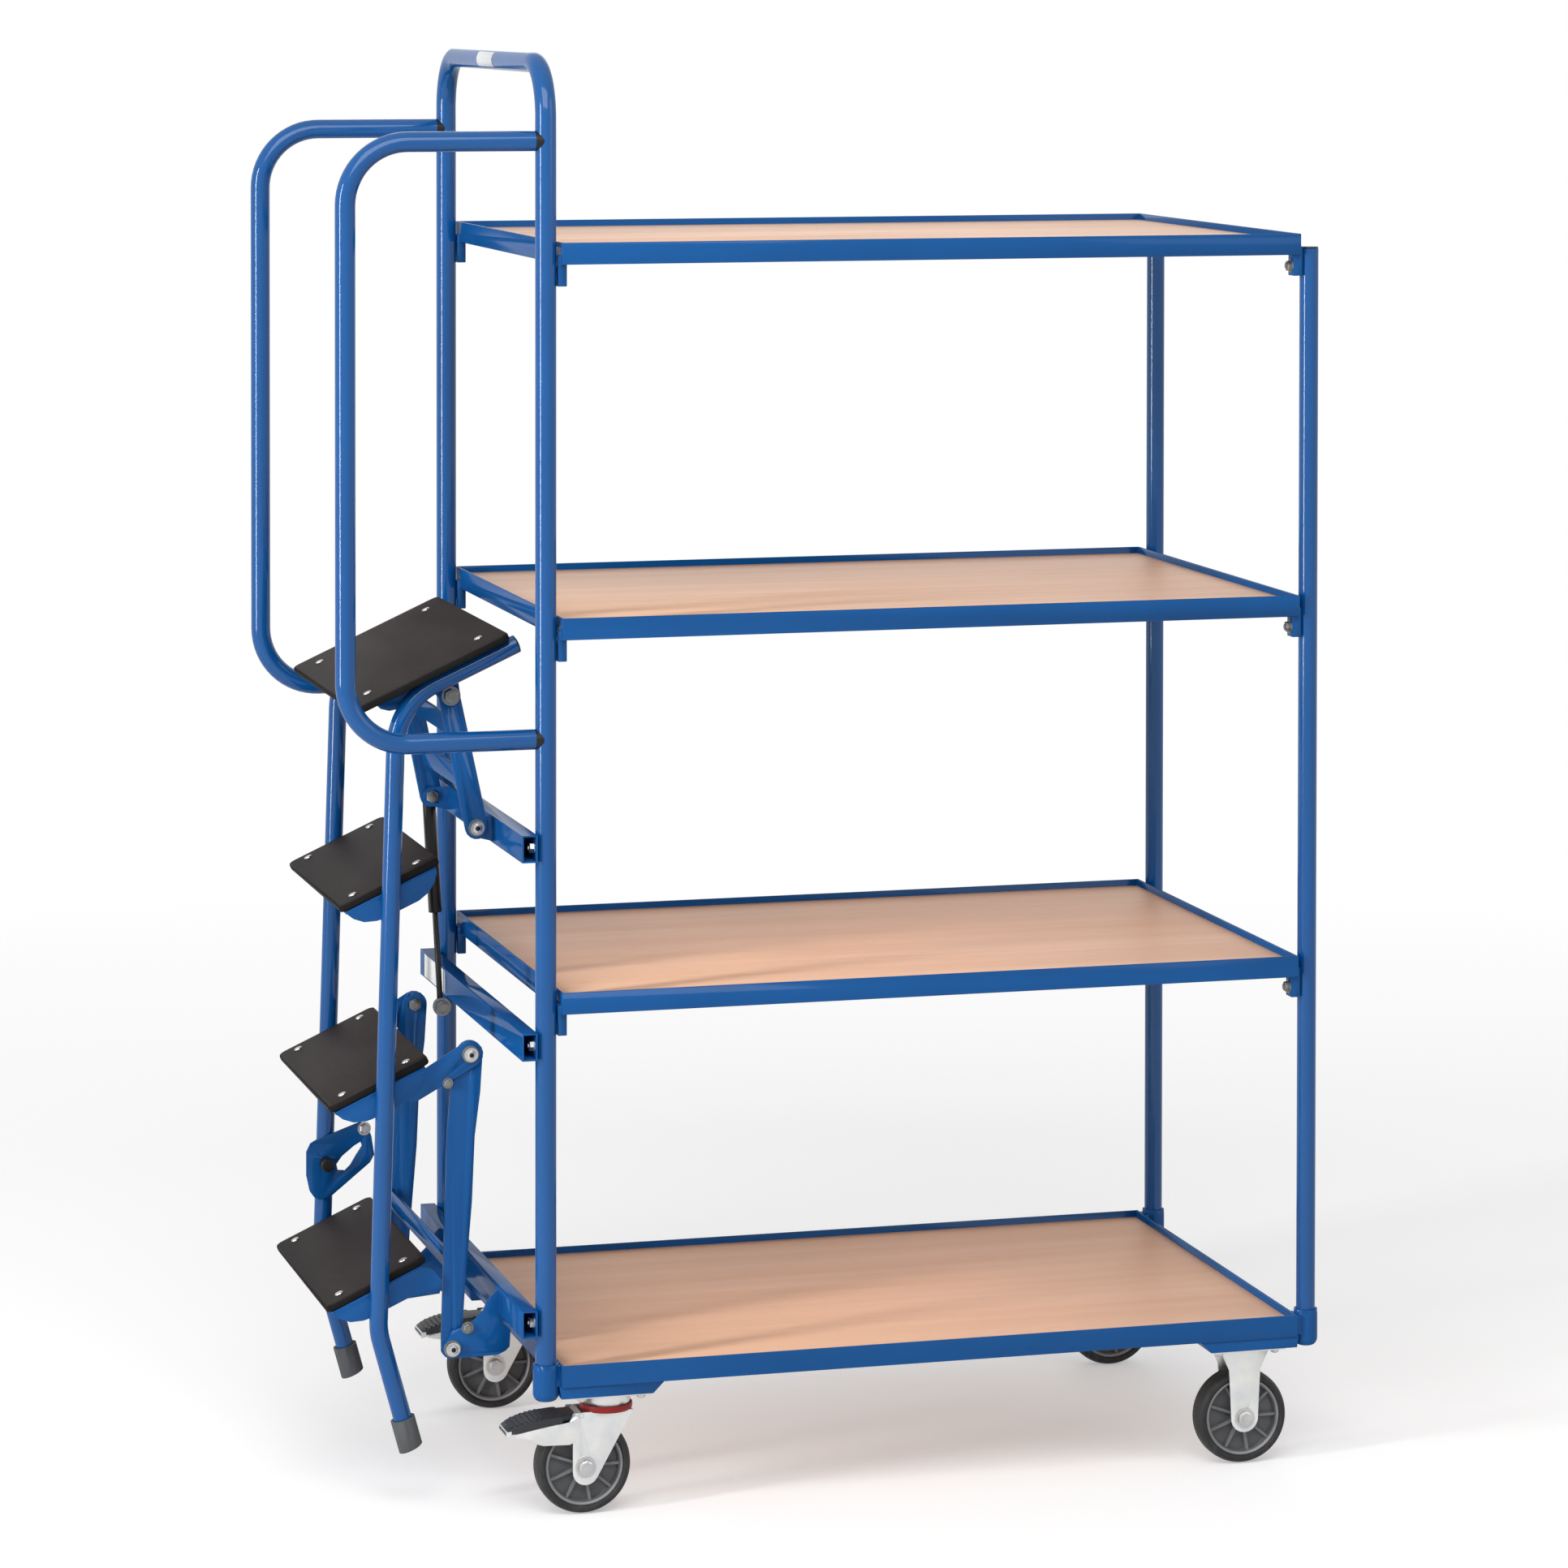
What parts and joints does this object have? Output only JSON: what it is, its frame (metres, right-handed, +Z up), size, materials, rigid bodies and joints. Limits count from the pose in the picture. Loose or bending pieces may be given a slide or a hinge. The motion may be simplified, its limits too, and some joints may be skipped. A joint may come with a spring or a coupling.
{
  "type": "order picking trolley",
  "caption": "Order picking trolley: boarded shelves in an angle-steel frame on braked swivel and fixed castors, with a linked step ladder that swings down at one end",
  "frame": {"origin": "On the floor under the middle of the overall length and width", "axes": "+Z up, X along the trolley with the ladder end at -X, Y across with the front side at -Y"},
  "size_m": [1.3224, 0.64, 1.8785],
  "materials": {
    "blue_paint": "satin powder coat",
    "beech_board": "smooth melamine-faced board",
    "tread_board": "film-faced plywood",
    "zinc": "bright zinc plate",
    "tyre_rubber": "matt",
    "rim_plastic": "matt",
    "foot_rubber": "matt",
    "black_steel": "black, semi-gloss",
    "bolt_steel": "zinc-plated"
  },
  "bodies": {
    "frame": {"handle_arch": "blue_paint", "guard_loop_front": "blue_paint", "guard_loop_rear": "blue_paint", "far_post_front": "blue_paint", "far_post_rear": "blue_paint", "deck_frame": "blue_paint", "deck_board": "beech_board", "shelf_frame_lower": "blue_paint", "shelf_board_lower": "beech_board", "shelf_frame_middle": "blue_paint", "shelf_board_middle": "beech_board", "shelf_frame_top": "blue_paint", "shelf_board_top": "beech_board", "crossbar_upper": "blue_paint", "crossbar_middle": "blue_paint", "crossbar_lower": "blue_paint", "swivel_plate_front": "zinc", "swivel_plate_rear": "zinc", "fixed_fork_front": "zinc", "fixed_fork_rear": "zinc", "fixed_axle_front": "bolt_steel", "fixed_axle_rear": "bolt_steel", "lower_pivot_bolt_front": "bolt_steel", "lower_pivot_bolt_rear": "bolt_steel", "upper_pivot_bolt_front": "bolt_steel", "upper_pivot_bolt_rear": "bolt_steel"},
    "lower_link": {"lower_link_frame": "blue_paint"},
    "upper_link": {"upper_link_frame": "blue_paint"},
    "ladder": {"ladder_leg_front": "blue_paint", "ladder_leg_rear": "blue_paint", "foot_cap_front": "foot_rubber", "foot_cap_rear": "foot_rubber", "tread_first": "tread_board", "tread_second": "tread_board", "tread_third": "tread_board", "tread_top": "tread_board", "carrier_first": "blue_paint", "carrier_second": "blue_paint", "carrier_third": "blue_paint", "carrier_top": "blue_paint", "latch_plate": "blue_paint", "link_bolt_front": "bolt_steel", "link_bolt_rear": "bolt_steel"},
    "gas_rod": {"gas_rod": "black_steel"},
    "gas_cylinder": {"gas_cylinder": "black_steel"},
    "swivel_fork_front": {"swivel_fork_front": "zinc", "swivel_axle_front": "bolt_steel"},
    "wheel_swivel_front": {"tyre_swivel_front": "tyre_rubber", "rim_swivel_front": "rim_plastic"},
    "wheel_fixed_front": {"tyre_fixed_front": "tyre_rubber", "rim_fixed_front": "rim_plastic"},
    "pedal_front": {"brake_pedal_front": "black_steel"},
    "swivel_fork_rear": {"swivel_fork_rear": "zinc", "swivel_axle_rear": "bolt_steel"},
    "wheel_swivel_rear": {"tyre_swivel_rear": "tyre_rubber", "rim_swivel_rear": "rim_plastic"},
    "wheel_fixed_rear": {"tyre_fixed_rear": "tyre_rubber", "rim_fixed_rear": "rim_plastic"},
    "pedal_rear": {"brake_pedal_rear": "black_steel"}
  },
  "joints": [
    {"name": "ladder_swing", "type": "hinge", "parent": "frame", "child": "lower_link", "pos_m": [-0.48525, 0, 0.2], "axis": [0, -1, 0], "range_deg": [0, 57.8], "stiffness_Nm_per_rad": 20, "springref_deg": -28.65},
    {"name": "ladder_tilt", "type": "hinge", "parent": "lower_link", "child": "ladder", "pos_m": [-0.46125, 0, 0.5815], "axis": [0, -1, 0], "range_deg": [-82.3, 0]},
    {"name": "upper_link_swing", "type": "hinge", "parent": "frame", "child": "upper_link", "pos_m": [-0.44455, 0, 0.869], "axis": [0, -1, 0], "range_deg": [0, 83.5]},
    {"name": "gas_turn", "type": "hinge", "parent": "frame", "child": "gas_rod", "pos_m": [-0.42865, 0.1582, 0.581], "axis": [0, -1, 0], "range_deg": [0, 8.8]},
    {"name": "gas_slide", "type": "slide", "parent": "gas_rod", "child": "gas_cylinder", "axis": [-0.0551, 0, 0.9985], "range_m": [-0.0366, 0]},
    {"name": "swivel_front", "type": "hinge", "parent": "frame", "child": "swivel_fork_front", "pos_m": [-0.30125, -0.2655, 0.1], "axis": [0, 0, 1], "continuous": true},
    {"name": "wheel_swivel_front", "type": "hinge", "parent": "swivel_fork_front", "child": "wheel_swivel_front", "pos_m": [-0.33325, -0.2655, 0.0625], "axis": [0, 1, 0], "continuous": true},
    {"name": "pedal_front", "type": "hinge", "parent": "swivel_fork_front", "child": "pedal_front", "pos_m": [-0.33925, -0.2655, 0.1294], "axis": [0, -1, 0], "range_deg": [0, 6]},
    {"name": "wheel_fixed_front", "type": "hinge", "parent": "frame", "child": "wheel_fixed_front", "pos_m": [0.56575, -0.2655, 0.0625], "axis": [0, 1, 0], "continuous": true},
    {"name": "swivel_rear", "type": "hinge", "parent": "frame", "child": "swivel_fork_rear", "pos_m": [-0.30125, 0.2655, 0.1], "axis": [0, 0, 1], "continuous": true},
    {"name": "wheel_swivel_rear", "type": "hinge", "parent": "swivel_fork_rear", "child": "wheel_swivel_rear", "pos_m": [-0.33325, 0.2655, 0.0625], "axis": [0, 1, 0], "continuous": true},
    {"name": "pedal_rear", "type": "hinge", "parent": "swivel_fork_rear", "child": "pedal_rear", "pos_m": [-0.33925, 0.2655, 0.1294], "axis": [0, -1, 0], "range_deg": [0, 6]},
    {"name": "wheel_fixed_rear", "type": "hinge", "parent": "frame", "child": "wheel_fixed_rear", "pos_m": [0.56575, 0.2655, 0.0625], "axis": [0, 1, 0], "continuous": true}
  ],
  "couplings": [
    {"joint": "ladder_tilt", "follows": "ladder_swing", "ratio": -1.422},
    {"joint": "upper_link_swing", "follows": "ladder_swing", "ratio": 1.4403},
    {"joint": "gas_turn", "follows": "ladder_swing", "ratio": 0.14966},
    {"joint": "gas_slide", "follows": "ladder_swing", "m_per_rad": -0.03601}
  ]
}
